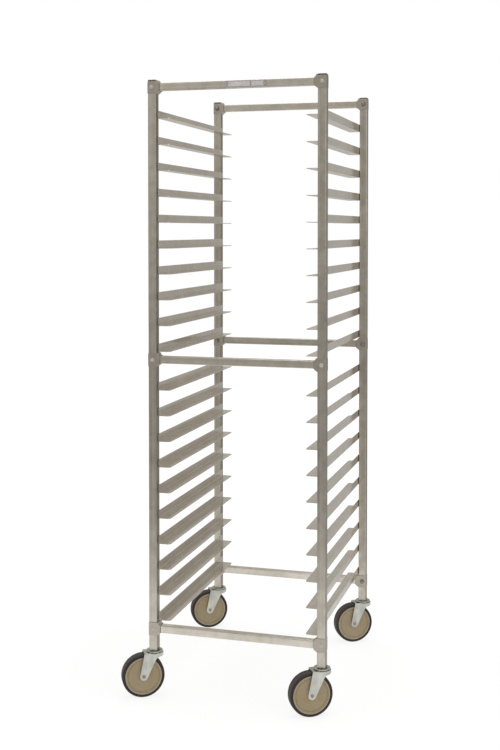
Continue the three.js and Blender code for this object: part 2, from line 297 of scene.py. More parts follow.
def square_tube(name, low, high, axis, corner, wall, slot, node):
    """A piece of square tube along an axis, open at its ends, that stands for a CAD node."""
    a, b = [i for i in range(3) if i != axis]
    loops = 5
    rings = []
    for loop in range(loops):
        along = low[axis] + (high[axis] - low[axis]) * loop / (loops - 1)
        rings.append([])
        for s, t in ((low[a], low[b]), (high[a], low[b]), (high[a], high[b]), (low[a], high[b])):
            point = [along] * 3
            point[a], point[b] = s, t
            rings[-1].append(point)
    tube = piece_of(name, mesh_of("tube", *skin_of(rings)), slot, "frame", slot, node)
    bevel(tube, corner, segments=4, angle=30.0, name="Tube corners")
    solidify(tube, wall)
    even_shading(tube)


def applied(helper):
    """The mesh that a helper's stack makes. The helper is removed."""
    graph = bpy.context.evaluated_depsgraph_get()
    mesh = bpy.data.meshes.new_from_object(helper.evaluated_get(graph))
    cage = helper.data
    bpy.data.objects.remove(helper)
    bpy.data.meshes.remove(cage)
    return mesh


def turned(profile, steps):
    """A profile of (radius, height) pairs in millimetres, top to bottom, turned about Z."""
    mesh = bpy.data.meshes.new("profile")
    points = [(radius * MM, 0.0, height * MM) for radius, height in profile]
    mesh.from_pydata(points, [(i, i + 1) for i in range(len(points) - 1)], [])
    turning = linked("profile", mesh)
    screw = turning.modifiers.new("Turning", "SCREW")
    screw.angle = math.tau
    screw.steps = screw.render_steps = steps
    screw.use_merge_vertices = True
    screw.merge_threshold = 1e-6
    screw.use_smooth_shade = True
    return applied(turning)


def rounded(profile, radius, segments=2):
    """An open profile with its inner corners rounded."""
    points = [profile[0]]
    for before, corner, after in zip(profile, profile[1:], profile[2:]):
        corner = Vector(corner)
        back, ahead = Vector(before) - corner, Vector(after) - corner
        reach = min(radius, back.length * 0.45, ahead.length * 0.45)
        start, end = corner + back.normalized() * reach, corner + ahead.normalized() * reach
        for step in range(segments + 1):
            t = step / segments
            points.append(tuple(start * (1 - t) ** 2 + corner * 2 * t * (1 - t) + end * t**2))
    points.append(profile[-1])
    return points


def sharpened(mesh, angle=35.0):
    """Marks the edges sharper than an angle in degrees, so that they shade crisply."""
    mesh.polygons.foreach_set("use_smooth", [True] * len(mesh.polygons))
    mesh.set_sharp_from_angle(angle=math.radians(angle))
    return mesh


def mirrored(upper):
    """A profile's upper half and its mirror image below."""
    return upper + [(radius, -height) for radius, height in reversed(upper)]


def joined(meshes):
    """Several meshes as one. The others are removed."""
    shell = bmesh.new()
    for mesh in meshes:
        shell.from_mesh(mesh)
        bpy.data.meshes.remove(mesh)
    whole = bpy.data.meshes.new("joined")
    shell.to_mesh(whole)
    shell.free()
    return whole


def copy_at(mesh, matrix):
    """A copy of a mesh put in its place."""
    copy = mesh.copy()
    copy.transform(matrix)
    return copy


def box_cage(low, high):
    """A closed box."""
    xs, ys, zs = zip(low, high)
    points = [(x, y, z) for z in zs for y in ys for x in xs]
    faces = [(0, 2, 3, 1), (4, 5, 7, 6), (0, 1, 5, 4), (2, 6, 7, 3), (0, 4, 6, 2), (1, 3, 7, 5)]
    return mesh_of("box", points, faces)


def quarter(centre_a, centre_b, radius, start, steps=4):
    """A quarter circle of (a, b) pairs, from a start angle in degrees."""
    turns = [math.radians(start + 90 * step / steps) for step in range(steps + 1)]
    return [(centre_a + radius * math.cos(turn), centre_b + radius * math.sin(turn)) for turn in turns]


def bead(start, end, radius, rings=9, sides=6):
    """A rippled weld bead between two points."""
    start, end = Vector(start), Vector(end)
    along = (end - start).normalized()
    across = along.orthogonal().normalized()
    other = along.cross(across)
    overrun, ripple = radius * 0.55, 0.16
    points, faces = [start - along * overrun], []
    for ring in range(rings):
        t = ring / (rings - 1)
        swell = math.sin(math.pi * (0.12 + 0.76 * t)) ** 0.5
        swell *= 1 + ripple * (1 if ring % 2 else -1)
        centre = start.lerp(end, t)
        for side in range(sides):
            angle = math.tau * (side + 0.5 * (ring % 2)) / sides
            out = across * math.cos(angle) + other * math.sin(angle)
            points.append(centre + out * radius * swell)
    points.append(end + along * overrun)
    last = len(points) - 1
    for side in range(sides):
        after = (side + 1) % sides
        faces.append((0, 1 + after, 1 + side))
        for ring in range(rings - 1):
            i, j = 1 + ring * sides + side, 1 + ring * sides + after
            faces.append((i, j, j + sides, i + sides))
        faces.append((last, last - sides + side, last - sides + after))
    mesh = mesh_of("bead", points, faces)
    recalculate(mesh)
    return mesh


# ---------------------------------------------------------------- node tools


def fill(tree, node, inputs):
    """Links or sets a node's inputs."""
    for key, value in inputs.items():
        if isinstance(value, bpy.types.NodeSocket):
            tree.links.new(value, node.inputs[key])
        else:
            node.inputs[key].default_value = value


def add(tree, kind, inputs=None, **settings):
    """Adds a node, sets its properties, then links or sets its inputs."""
    node = tree.nodes.new(kind)
    for key, value in settings.items():
        setattr(node, key, value)
    fill(tree, node, inputs or {})
    return node


def maths(tree, operation, a, b=0.0, clamp=False):
    """A Math node's result."""
    return add(tree, "ShaderNodeMath", {0: a, 1: b}, operation=operation, use_clamp=clamp).outputs[0]


def mapped(tree, value, low, high, to_low=0.0, to_high=1.0):
    """A value mapped from one range to another, clamped."""
    inputs = {"Value": value, "From Min": low, "From Max": high, "To Min": to_low, "To Max": to_high}
    return add(tree, "ShaderNodeMapRange", inputs, clamp=True).outputs[0]


def mixed(tree, factor, a, b):
    """One colour faded into another."""
    return add(tree, "ShaderNodeMix", {0: factor, 6: a, 7: b}, data_type="RGBA").outputs[2]


def laid(tree, mask, share, under, over):
    """A colour laid over another where a mask lets it, at no more than a share."""
    return mixed(tree, maths(tree, "MULTIPLY", mask, share), under, over)


def weighed(tree, *parts, start=None, clamp=False):
    """A start value and several more, each times its weight, summed."""
    total = start
    for value, weight in parts:
        part = maths(tree, "MULTIPLY", value, weight)
        total = part if total is None else maths(tree, "ADD", total, part, clamp)
    return total


def noise(tree, vector, scale, detail=3.0, roughness=0.55):
    """A noise value."""
    inputs = {"Vector": vector, "Scale": scale, "Detail": detail, "Roughness": roughness}
    return add(tree, "ShaderNodeTexNoise", inputs).outputs["Fac"]


def stretched(tree, vector, scale, turn=(0.0, 0.0, 0.0)):
    """A vector turned and scaled."""
    return add(tree, "ShaderNodeMapping", {"Vector": vector, "Rotation": turn, "Scale": scale}).outputs[0]


def parts_of(tree, vector):
    """A vector's three parts."""
    return add(tree, "ShaderNodeSeparateXYZ", {0: vector}).outputs


def unsigned(tree, vector):
    """A vector with its minus signs dropped."""
    return add(tree, "ShaderNodeVectorMath", {0: vector}, operation="ABSOLUTE").outputs[0]


def make_group(name, inputs, outputs):
    """A shader node group. An input without a default is a vector."""
    group = bpy.data.node_groups.new(name, "ShaderNodeTree")
    for socket, default in inputs.items():
        kind = "NodeSocketVector" if default is None else "NodeSocketFloat"
        made = group.interface.new_socket(name=socket, in_out="INPUT", socket_type=kind)
        if default is not None:
            made.default_value = default
    for socket in outputs:
        group.interface.new_socket(name=socket, in_out="OUTPUT", socket_type="NodeSocketFloat")
    given, out = group.nodes.new("NodeGroupInput"), group.nodes.new("NodeGroupOutput")
    return group, given.outputs, out.inputs


def layered_noise(name, vector, size, layers):
    """A group that puts out layers of noise, each spread between its own limits."""
    group, given, out = make_group(name, {vector: None, size: 1.0}, layers)
    for layer, (scale, detail, roughness, low, high) in layers.items():
        scaled = maths(group, "MULTIPLY", given[size], scale)
        found = noise(group, given[vector], scaled, detail, roughness)
        group.links.new(mapped(group, found, low, high), out[layer])
    return group


def drawn_grain():
    """Fine lines and broad streaks that run the way a section was drawn."""
    layers = {"Lines": (700.0, 2.0, 0.55, 0.3, 0.7), "Streaks": (95.0, 3.0, 0.55, 0.32, 0.68)}
    return layered_noise("Drawn grain", "Along", "Fineness", layers)


def handling_marks():
    """Soft smudges from hands and cloths, with blotches and finer mottling."""
    layers = {
        "Smudges": (9.0, 4.0, 0.6, 0.36, 0.66),
        "Blotches": (26.0, 2.0, 0.5, 0.34, 0.64),
        "Mottle": (75.0, 3.0, 0.6, 0.3, 0.7),
    }
    return layered_noise("Handling marks", "Position", "Size", layers)


def hair_scratches():
    """Short hair scratches at two slants."""
    group, given, out = make_group("Hair scratches", {"Position": None, "Amount": 0.5}, ["Scratches"])
    found = []
    for turn, scale in (((0.4, 0.9, 0.5), (520.0, 14.0, 520.0)), ((-0.7, 0.2, -0.6), (14.0, 480.0, 480.0))):
        line = noise(group, stretched(group, given["Position"], scale, turn), 1.0, 1.0)
        found.append(mapped(group, line, 0.72, 0.82))
    both = maths(group, "MAXIMUM", *found)
    patch = mapped(group, noise(group, given["Position"], 16.0, 2.0), 0.42, 0.62)
    shown = maths(group, "MULTIPLY", maths(group, "MULTIPLY", both, patch), given["Amount"])
    group.links.new(shown, out["Scratches"])
    return group


def corner_polish_and_painted_light():
    """Where a surface turns away from its three main directions, broken up by noise. Drawn metal paints
    this mask lighter or darker as worn polish and as painted highlight and shade.
    """
    group, given, out = make_group("Corner polish", {"Facing": None, "Position": None}, ["Polish"])
    x, y, z = parts_of(group, unsigned(group, given["Facing"]))
    largest = maths(group, "MAXIMUM", maths(group, "MAXIMUM", x, y), z)
    turning = mapped(group, largest, 0.985, 0.86)
    worn = mapped(group, noise(group, given["Position"], 60.0, 3.0), 0.3, 0.6, 0.35, 1.0)
    group.links.new(maths(group, "MULTIPLY", turning, worn), out["Polish"])
    return group


def settled_dust():
    """Dust and flour film on faces that look up."""
    group, given, out = make_group("Settled dust", {"Facing": None, "Position": None}, ["Dust"])
    upward = mapped(group, parts_of(group, given["Facing"])[2], 0.55, 0.98)
    patches = mapped(group, noise(group, given["Position"], 26.0, 5.0, 0.65), 0.38, 0.72)
    group.links.new(maths(group, "MULTIPLY", upward, patches), out["Dust"])
    return group


GROUPS = {}
MATERIALS = {}


def effect(tree, maker, **inputs):
    """Places one of the shared effects in a material, and gives its outputs by name."""
    if maker not in GROUPS:
        GROUPS[maker] = maker()
    node = add(tree, "ShaderNodeGroup", node_tree=GROUPS[maker])
    fill(tree, node, inputs)
    return {socket.name: socket for socket in node.outputs}


def worn_material(name, mark_size, scratching, turn=0.0):
    """A new material, its tree, coordinates and wear. A turned piece gives the angle it stands at."""
    material = bpy.data.materials.new(name)
    material.use_nodes = True
    tree = material.node_tree
    place = tree.nodes.new("ShaderNodeTexCoord")
    position, facing = place.outputs["Object"], place.outputs["Normal"]
    if turn:
        facing = stretched(tree, facing, NO_SCALE, (0.0, 0.0, -turn))
    wear = effect(tree, handling_marks, Position=position, Size=mark_size)
    wear |= effect(tree, hair_scratches, Position=position, Amount=scratching)
    wear |= effect(tree, settled_dust, Facing=facing, Position=position)
    return material, tree, position, facing, wear


def finished(material, tint, rough, height, strength, depth, metallic=0.0, coat=0.0):
    """Feeds a material's shader from its colours, masks and heights."""
    tree = material.node_tree
    bump = add(tree, "ShaderNodeBump", {"Strength": strength, "Distance": depth, "Height": height})
    shader = next(node for node in tree.nodes if node.type == "BSDF_PRINCIPLED")
    fill(tree, shader, {"Base Color": tint, "Roughness": rough, "Normal": bump.outputs[0]})
    fill(tree, shader, {"Metallic": metallic, "Coat Weight": coat, "Coat Roughness": COAT_ROUGHNESS})
    return material


def toned(value, factor, shares=NO_SCALE):
    """A colour made lighter or darker, with a share of each channel kept, and alpha."""
    return tuple(min(1.0, channel * share * factor) for channel, share in zip(value, shares)) + (1.0,)


def mottled(tree, tone, base, contrast):
    """A colour that a tone makes darker and lighter."""
    return mixed(tree, tone, toned(base, 1 - contrast), toned(base, 1 + contrast))


def drawn_metal(
    name, base, axis, roughness,
    fineness=1.0, contrast=0.10, turn=0.0, flank_painted_shade=0.0, corner=1.12, relief=0.35, metallic=1.0,
):
    """Drawn or rolled metal with its grain along an axis, smudges, scratches, and rounded corners painted
    partly as worn polish and partly as painted highlight and shade.

    Flank is the share of painted shade on the faces along X, corner is how bright the rounded
    corners are painted beside the flats (above one worn polish and painted highlight, below one
    painted shade), and relief is how deep its grain looks.
    """
    material, tree, position, facing, wear = worn_material(name, 1.0, 0.3, turn)
    squeeze = [1.0, 1.0, 1.0]
    squeeze[axis] = GRAIN_STRETCH
    wear |= effect(tree, drawn_grain, Along=stretched(tree, position, squeeze), Fineness=fineness)
    wear |= effect(tree, corner_polish_and_painted_light, Facing=facing, Position=position)
    tone = weighed(tree, (wear["Streaks"], 0.45), (wear["Mottle"], 0.2), (wear["Blotches"], 0.35))
    tint = mottled(tree, tone, base, contrast)
    tint = laid(tree, wear["Smudges"], 0.35, tint, toned(base, 0.86, DRAWN_STAIN))
    # Painted light on the rounded corners: lighter partly as worn polish and partly as painted highlight,
    # darker as painted shade.
    tint = laid(tree, wear["Polish"], 0.6, tint, toned(base, corner))
    tint = laid(tree, wear["Dust"], 0.10, tint, METAL_DUST)
    # Painted shade on the faces along X.
    if flank_painted_shade:
        painted_shade_sides = mapped(tree, parts_of(tree, unsigned(tree, facing))[0], 0.5, 0.95)
        tint = laid(tree, painted_shade_sides, flank_painted_shade, tint, FLANK_PAINTED_SHADE)
    rough = mapped(tree, wear["Streaks"], 0.0, 1.0, roughness - 0.04, roughness + 0.05)
    marks = (wear["Smudges"], 0.10), (wear["Dust"], 0.08), (wear["Polish"], -0.08)
    rough = weighed(tree, *marks, start=rough, clamp=True)
    height = weighed(tree, (wear["Lines"], 0.08), (wear["Streaks"], 0.28), (wear["Scratches"], -0.25))
    return finished(material, tint, rough, height, relief, 0.00012, metallic)


def cast_metal(name, base, roughness, grit=420.0, contrast=0.14, depth=0.00018, metallic=1.0):
    """Cast, plated or welded metal: mottled, slightly pitted and stained in patches."""
    material, tree, position, _, wear = worn_material(name, 1.6, 0.5)
    grains = noise(tree, position, grit, 4.0, 0.6)
    tone = weighed(tree, (wear["Mottle"], 0.65), (grains, 0.35))
    tint = mottled(tree, tone, base, contrast)
    tint = laid(tree, wear["Smudges"], 0.4, tint, toned(base, 0.82, CAST_STAIN))
    tint = laid(tree, wear["Dust"], 0.16, tint, CAST_DUST)
    rough = mapped(tree, tone, 0.2, 0.8, roughness - 0.06, roughness + 0.08)
    rough = weighed(tree, (wear["Smudges"], 0.10), start=rough, clamp=True)
    height = maths(tree, "SUBTRACT", grains, wear["Scratches"])
    return finished(material, tint, rough, height, 0.4, depth, metallic)


def moulded(name, base, roughness, speck, grit, coat=0.0, film=0.25, film_tone=PALE_FILM, tread=0.0):
    """Moulded plastic or rubber: speckled, scuffed in patches, filmed with dust.

    A tread above nought is how much of the film a rolling surface has picked up.
    """
    turn = CASTER_TURN if tread else 0.0
    material, tree, position, facing, wear = worn_material(name, 2.4, 0.8, turn)
    specks = mapped(tree, noise(tree, position, grit, 3.0, 0.65), 0.35, 0.65)
    tone = weighed(tree, (specks, 0.55), (wear["Mottle"], 0.45))
    tint = mottled(tree, tone, base, speck)
    tint = laid(tree, wear["Smudges"], film, tint, film_tone)
    tint = laid(tree, wear["Scratches"], 0.4, tint, toned(base, 1.7))
    tint = laid(tree, wear["Dust"], 0.22, tint, film_tone)
    if tread:
        across = parts_of(tree, unsigned(tree, facing))[1]
        rolled = mapped(tree, across, 0.75, 0.2, 0.0, tread)
        tint = laid(tree, rolled, mapped(tree, tone, 0.2, 0.8, 0.7, 1.0), tint, film_tone)
    rough = mapped(tree, tone, 0.1, 0.9, roughness - 0.06, roughness + 0.06)
    rough = weighed(tree, (wear["Smudges"], 0.12), start=rough, clamp=True)
    height = maths(tree, "SUBTRACT", specks, wear["Scratches"])
    return finished(material, tint, rough, height, 0.35, 0.0002, coat=coat)


# Each finish's maker, its material's name and its values. Its colour is the property of its key.
FINISHES = {
    # Posts and rails have corner below one, painted shade on their rounded corners; posts and runners have
    # flank, painted shade on their faces along X.
    "post": (drawn_metal, "Post aluminium", (ALONG_Z, 0.30), dict(contrast=0.27, flank_painted_shade=0.7, corner=0.55)),
    "runner": (
        drawn_metal,
        "Runner aluminium",
        (ALONG_Y, 0.09),
        dict(contrast=0.13, flank_painted_shade=0.3, relief=0.12, metallic=0.86),
    ),
    "rail": (drawn_metal, "Rail aluminium", (ALONG_X, 0.32), dict(contrast=0.2, corner=0.72)),
    "bracket": (cast_metal, "Bracket aluminium", (0.42,), {}),
    "weld": (cast_metal, "Weld aluminium", (0.5,), dict(grit=900.0, contrast=0.3, depth=0.0003)),
    "bolt": (
        cast_metal,
        "Bolt steel",
        (0.44,),
        dict(grit=600.0, contrast=0.08, depth=0.00006, metallic=0.4),
    ),
    "cap": (moulded, "Cap plastic", (0.48, 0.12, 1400.0), {}),
    "plate": (drawn_metal, "Plate aluminium", (ALONG_X, 0.38), dict(fineness=1.6, contrast=0.06)),
    "label": (
        moulded,
        "Label enamel",
        (0.42, 0.20, 330.0),
        dict(coat=0.2, film=0.35, film_tone=LABEL_FILM),
    ),
    "fork": (
        drawn_metal,
        "Fork zinc",
        (ALONG_Z, 0.27),
        dict(fineness=0.7, contrast=0.36, turn=CASTER_TURN),
    ),
    "race": (cast_metal, "Race zinc", (0.26,), dict(grit=500.0, contrast=0.16, depth=0.0001)),
    "axle": (cast_metal, "Axle steel", (0.34,), dict(grit=700.0, contrast=0.12, depth=0.0001)),
    "core": (moulded, "Wheel core", (0.5, 0.15, 420.0), dict(film=0.26, film_tone=CORE_FILM)),
    # The lip's pale tone is a painted highlight.
    "lip": (moulded, "Core lip", (0.45, 0.12, 700.0), dict(film=0.15, film_tone=CORE_FILM)),
    "tyre": (moulded, "Tyre rubber", (0.74, 0.2, 1100.0), dict(film=0.2, film_tone=TYRE_FILM, tread=0.6)),
}


def finish_of(key):
    """The material of a finish, made once."""
    if key not in MATERIALS:
        maker, name, values, extras = FINISHES[key]
        tint = getattr(bpy.context.scene.pan_rack_finishes, key)
        MATERIALS[key] = maker(name, tint, *values, **extras)
    return MATERIALS[key]


# ---------------------------------------------------------------- places


def post_axis(corner):
    """Where a post's axis stands, as (x, y)."""
    low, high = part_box(f"{corner}_post")
    return (low.x + high.x) / 2, (low.y + high.y) / 2


def outer(low, high, sign):
    """The value on the outer side of a box: the low one where the side's sign is below nought."""
    return high if sign > 0 else low


def caster_frame(corner):
    """Turns and moves a caster drawn with its king pin on Z and its wheel trailing along +X."""
    x, y = post_axis(corner)
    low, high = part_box(f"{corner}_wheel")
    trail = math.atan2((low.y + high.y) / 2 - y, (low.x + high.x) / 2 - x)
    return Matrix.Translation((x, y, 0.0)) @ Matrix.Rotation(trail, 4, "Z")


def axle_frame(corner, sizes):
    """Puts a part turned about Z on a caster's axle, with its +Z along the axle."""
    hub = Matrix.Translation((sizes.lead, 0.0, sizes.wheel_radius))
    return caster_frame(corner) @ hub @ Matrix.Rotation(math.radians(-90), 4, "X")


# ---------------------------------------------------------------- operators


class BuildPosts(bpy.types.Operator):
    """Builds the four square tube posts and their dark caps"""

    bl_idname = "pan_rack.posts"
    bl_label = "Posts and caps"

    def execute(self, context):
        sizes = context.scene.pan_rack_frame
        half, inset = sizes.post_size / 2, 0.09 * MM
        for corner in CORNERS:
            x, y = post_axis(corner)
            node = f"{corner}_post"
            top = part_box(node)[1].z
            seat = top - sizes.cap_height
            low, high = (x - half, y - half, sizes.post_foot), (x + half, y + half, seat)
            square_tube(
                f"{node}_tube", low, high, ALONG_Z, sizes.post_corner, sizes.post_wall, "post", node
            )
            cage = self.cap_cage((x, y), half - inset, seat, top)
            soften(piece_of(f"{node}_cap", cage, "cap", "frame", "post"), 1.1 * MM, segments=3)
        return {"FINISHED"}

    @staticmethod
    def cap_cage(centre, half, low, high):
        """A square cap with a rolled skirt and a slightly crowned top."""
        levels = (
            (half - 3.0 * MM, low - 8.0 * MM),
            (half - 2.0 * MM, low),
            (half, low),
            (half, high - 1.8 * MM),
            (half - 1.4 * MM, high - 0.5 * MM),
            (half - 6.0 * MM, high),
        )
        x, y = centre
        rings = [[(x + a * reach, y + b * reach, z) for a, b in SQUARE] for reach, z in levels]
        return mesh_of("cap", *skin_of(rings, closed=True))


class BuildRunners(bpy.types.Operator):
    """Builds the forty angle runners that carry the pans"""

    bl_idname = "pan_rack.runners"
    bl_label = "Pan runners"

    def execute(self, context):
        sizes = context.scene.pan_rack_frame
        for side, outward in SIDES:
            for level in range(1, LEVELS + 1):
                node = f"runner_{side}_{level:02d}"
                cage = self.cage(*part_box(node), outward, sizes.runner_tip)
                runner = piece_of(f"pan_{node}", cage, "runner", "frame", "runner", node)
                sheet_stack(runner, sizes.runner_bend, sizes.runner_thickness, 0.35 * MM)
        return {"FINISHED"}

    @staticmethod
    def cage(low, high, outward, corner):
        """The outside faces of one angle: the shelf's underside and the upstand against the posts."""
        root, tip = outer(low.x, high.x, outward), outer(low.x, high.x, -outward)
        reach = abs(root - tip)
        outline = [(0.0, low.y)]
        outline += quarter(reach - corner, low.y + corner, corner, -90)
        outline += quarter(reach - corner, high.y - corner, corner, 0)
        outline.append((0.0, high.y))
        count = len(outline)
        points = [(root - outward * across, along, low.z) for across, along in outline]
        points += [(root, high.y, high.z), (root, low.y, high.z)]
        shelf, upstand = list(range(count)), [0, count - 1, count, count + 1]
        if outward < 0:
            shelf, upstand = shelf[::-1], upstand[::-1]
        return mesh_of("angle", points, [shelf, upstand])


class BuildWelds(bpy.types.Operator):
    """Builds the weld beads that hold the runners on the posts"""

    bl_idname = "pan_rack.welds"
    bl_label = "Runner welds"

    def execute(self, context):
        radius = context.scene.pan_rack_frame.weld_radius
        standoff, lower_gap, upper_gap = 0.7 * MM, 5.5 * MM, 4.0 * MM
        for end, depth in ENDS:
            for side, outward in SIDES:
                beads = []
                for level in range(1, LEVELS + 1):
                    low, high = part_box(f"runner_{side}_{level:02d}")
                    x = outer(low.x, high.x, outward)
                    y = outer(low.y, high.y, depth) + depth * standoff
                    beads.append(bead((x, y, low.z + lower_gap), (x, y, high.z - upper_gap), radius))
                piece_of(f"{end}_{side}_post_welds", joined(beads), "weld", "frame", "post")
        return {"FINISHED"}


class BuildRails(bpy.types.Operator):
    """Builds the six cross rails with their saddle brackets and welds"""

    bl_idname = "pan_rack.rails"
    bl_label = "Rails and brackets"

    def execute(self, context):
        sizes = context.scene.pan_rack_frame
        for end, depth in ENDS:
            for storey in STOREYS:
                self.build_rail(end, storey, depth, sizes)
        return {"FINISHED"}

    @staticmethod
    def build_rail(end, storey, depth, sizes):
        """One rail: its tube, a bracket at each end and the welds between them."""
        node = f"{end}_{storey}_rail"
        low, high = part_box(node)
        x, z = (low.x + high.x) / 2, (low.z + high.z) / 2
        left, y = post_axis(f"{end}_left")
        right = post_axis(f"{end}_right")[0]
        inner = (right - left) / 2 - sizes.post_size / 2 - FIT_GAP
        half = sizes.rail_size / 2
        start, stop = (x - inner + MM, y - half, z - half), (x + inner - MM, y + half, z + half)
        square_tube(
            f"{node}_tube", start, stop, ALONG_X, sizes.rail_corner, sizes.rail_wall, "rail", node
        )
        front, back = outer(low.y, high.y, depth), outer(low.y, high.y, -depth)
        # The top brackets stop below the caps.
        notch = 3.6 * MM if storey == "top" else 0.0
        for side, outward in SIDES:
            reaches, heights = (inner, (high.x - low.x) / 2), (low.z, high.z)
            saddle = BuildRails.saddle_cage(
                (x, z), reaches, (front, back), heights, outward, depth, notch, sizes
            )
            bracket = piece_of(f"{node}_bracket_{side}", saddle, "bracket", "frame", "rail")
            soften(bracket, 0.6 * MM, angle=25.0)
        mouth, reach = inner - sizes.bracket_reach - FIT_GAP, half - 0.1 * MM
        beads = []
        for outward in (-1, 1):
            corners = [(x + outward * mouth, y + a * reach, z + b * reach) for a, b in SQUARE]
            for start, stop in zip(corners, corners[1:] + corners[:1]):
                beads.append(bead(start, stop, 1.3 * MM, rings=13, sides=5))
        piece_of(f"{node}_welds", joined(beads), "weld", "frame", "rail")

    @staticmethod
    def saddle_cage(middle, reaches, depths, heights, outward, depth, notch, sizes):
        """A bracket: plates over the post's two faces and a gusseted saddle round the rail's end."""
        inner, reach = reaches
        mouth = inner - sizes.bracket_reach
        throat = sizes.rail_size / 2 + sizes.bracket_lip
        half = (heights[1] - heights[0]) / 2
        front, back = depths
        clip, shoulder = 1.6 * MM, 5.5 * MM
        top = half - notch
        saddle = [
            (mouth, -throat),
            (inner, -half),
            (inner, top),
            (inner, half),
            (inner - shoulder * 0.45, half),
            (inner - shoulder, half - shoulder * 0.75),
            (inner - shoulder, throat + 0.6 * MM),
            (mouth, throat),
        ]
        plate = [(reach - clip, -half), (reach, clip - half), (reach, top - clip), (reach - clip, top)]
        thickness = depth * sizes.bracket_plate
        points = []
        for face, seat in ((front, front - thickness), (back, back + thickness)):
            for outline, y in ((saddle + plate, face), ([saddle[1], *plate, saddle[2]], seat)):
                points += [(middle[0] + outward * a, y, middle[1] + b) for a, b in outline]
        stride = len(points) // 2
        rings = [tuple(range(8)), (1, 8, 9, 10, 11, 2), (12, 17, 16, 15, 14, 13), (1, 12, 13, 8)]
        rings += [(i, i + 5, i + 6, i + 1) for i in (8, 9, 10)] + [(11, 16, 17, 2)]
        faces = [tuple(base + i for i in ring) for base in (0, stride) for ring in rings]
        faces += [(i, i + 1, i + 1 + stride, i + stride) for i in range(3, 7)]
        faces += [(7, 0, stride, 7 + stride), (12, 17, 17 + stride, 12 + stride)]
        faces += [(0, 1, 12, 12 + stride, 1 + stride, stride)]
        faces += [(17, 2, 3, 3 + stride, 2 + stride, 17 + stride)]
        mesh = mesh_of("saddle", points, faces)
        recalculate(mesh)
        return mesh


class BuildBolts(bpy.types.Operator):
    """Builds the domed bolts and acorn nuts that clamp the brackets to the posts"""

    bl_idname = "pan_rack.bolts"
    bl_label = "Bolts and nuts"

    def execute(self, context):
        head, nut = self.head(context.scene.pan_rack_frame), self.nut()
        kinds = (("bolt_heads", head, "bolt", 1), ("nuts", nut, "axle", -1))
        for end, depth in ENDS:
            for storey in STOREYS:
                node = f"{end}_{storey}_rail"
                low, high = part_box(node)
                for name, mesh, finish, sign in kinds:
                    y = outer(low.y, high.y, depth * sign)
                    turn = Matrix.Rotation(math.radians(-depth * sign * 90), 4, "X")
                    places = [(post_axis(f"{end}_{side}")[0], y, (low.z + high.z) / 2) for side, _ in SIDES]
                    copies = [copy_at(mesh, Matrix.Translation(place) @ turn) for place in places]
                    piece_of(f"{node}_{name}", joined(copies), finish, "frame", "rail")
        bpy.data.meshes.remove(head)
        bpy.data.meshes.remove(nut)
        return {"FINISHED"}

    @staticmethod
    def head(sizes):
        """A washer with a domed head, standing on z = 0."""
        boss, dome = sizes.bolt_boss / MM, sizes.bolt_head / MM
        profile = [(0.0, 4.0), (dome * 0.45, 3.75), (dome * 0.8, 2.9), (dome, 1.9), (dome, 1.2)]
        profile += [(boss - 0.5, 1.1), (boss, 0.7), (boss, -0.1), (0.0, -0.1)]
        return sharpened(turned(rounded(profile, 0.25), 28))

    @staticmethod
    def nut():
        """An acorn nut on a washer, standing on z = 0."""
        washer = turned(rounded([(0.0, 1.2), (8.0, 1.2), (8.0, -0.1), (0.0, -0.1)], 0.3), 24)
        dome = [(0.0, 9.6), (2.2, 9.2), (3.9, 8.0), (4.8, 6.2), (5.0, 5.0), (5.0, 1.0), (0.0, 1.0)]
        crown = turned(dome, 20)
        collar = bpy.data.meshes.new("collar")
        shell = bmesh.new()
        bmesh.ops.create_circle(shell, cap_ends=True, segments=6, radius=6.6 * MM)
        pushed = bmesh.ops.extrude_face_region(shell, geom=list(shell.faces))
        lifted = [item for item in pushed["geom"] if isinstance(item, bmesh.types.BMVert)]
        bmesh.ops.translate(shell, vec=(0.0, 0.0, 5.2 * MM), verts=lifted)
        bmesh.ops.recalc_face_normals(shell, faces=shell.faces)
        shell.to_mesh(collar)
        shell.free()
        helper = linked("collar", collar)
        bevel(helper, 0.5 * MM)
        return sharpened(joined([washer, crown, applied(helper)]))


class BuildNamePlate(bpy.types.Operator):
    """Builds the blank name plate with its raised rim and two rivets"""

    bl_idname = "pan_rack.name_plate"
    bl_label = "Blank name plate"

    def execute(self, context):
        low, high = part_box("name_plate")
        floor = high.y - 0.75 * MM
        levels = (
            (0.0, high.y),
            (0.0, low.y + 0.1 * MM),
            (0.25 * MM, low.y),
            (1.5 * MM, low.y),
            (1.9 * MM, floor),
        )
        mesh = mesh_of("plate", *skin_of([self.rim(low, high, *level) for level in levels], closed=True))
        recalculate(mesh)
        plate = piece_of("name_plate_blank", mesh, "plate", "frame", "plate", "name_plate")
        soften(plate, 0.12 * MM, angle=35.0)

        width, margin = high.x - low.x, 2.9 * MM
        fields = [
            box_cage(
                (low.x + start * width, floor - 0.4 * MM, low.z + margin),
                (low.x + stop * width, floor + 0.1 * MM, high.z - margin),
            )
            for start, stop in ((0.075, 0.60), (0.64, 0.925))
        ]
        soften(piece_of("name_plate_fields", joined(fields), "label", "frame", "plate"), 0.15 * MM)

        dome = turned([(0.0, 0.9), (1.0, 0.75), (1.7, 0.35), (1.9, 0.0), (0.0, -0.2)], 16)
        turn, inset = Matrix.Rotation(math.radians(90), 4, "X"), 5.5 * MM
        places = [(x, floor, (low.z + high.z) / 2) for x in (low.x + inset, high.x - inset)]
        rivets = [copy_at(dome, Matrix.Translation(place) @ turn) for place in places]
        bpy.data.meshes.remove(dome)
        piece_of("name_plate_rivets", joined(rivets), "bolt", "frame", "plate")
        return {"FINISHED"}

    @staticmethod
    def rim(low, high, inset, y):
        """One ring of the plate: a rounded rectangle, counter-clockwise, drawn in from its edge."""
        corner = 2.0 * MM - inset * 0.6
        left, right = low.x + inset + corner, high.x - inset - corner
        foot, head = low.z + inset + corner, high.z - inset - corner
        places = ((right, foot, -90), (right, head, 0), (left, head, 90), (left, foot, 180))
        return [(a, y, b) for x, z, start in places for a, b in quarter(x, z, corner, start)]


